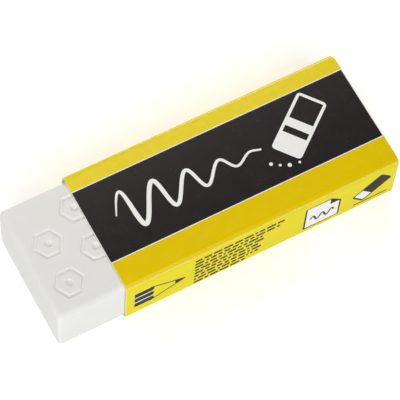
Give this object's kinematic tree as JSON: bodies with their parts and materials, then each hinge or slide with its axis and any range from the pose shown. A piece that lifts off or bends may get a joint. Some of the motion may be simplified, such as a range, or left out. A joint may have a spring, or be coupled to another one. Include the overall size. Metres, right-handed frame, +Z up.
{
  "type": "rubber eraser",
  "caption": "White block eraser in a folded, printed card sleeve with open ends; the block slides in the sleeve and is pushed out as it wears.",
  "frame": {"origin": "on the table, below the middle of the whole object", "axes": "+X from the bare working end to the tail, +Y to the glued side of the sleeve, +Z up from the broad side it lies on"},
  "size_m": [0.0654, 0.0238, 0.0125],
  "materials": {
    "white_vinyl": "matt soft vinyl",
    "printed_card": "coated card, printed yellow and black, semi-gloss"
  },
  "bodies": {
    "sleeve": {"card_sleeve": "printed_card"},
    "block": {"eraser_block": "white_vinyl"}
  },
  "joints": [
    {"name": "block_slide", "type": "slide", "parent": "sleeve", "child": "block", "axis": [-1, 0, 0], "range_m": [-0.0124, 0.042]}
  ]
}
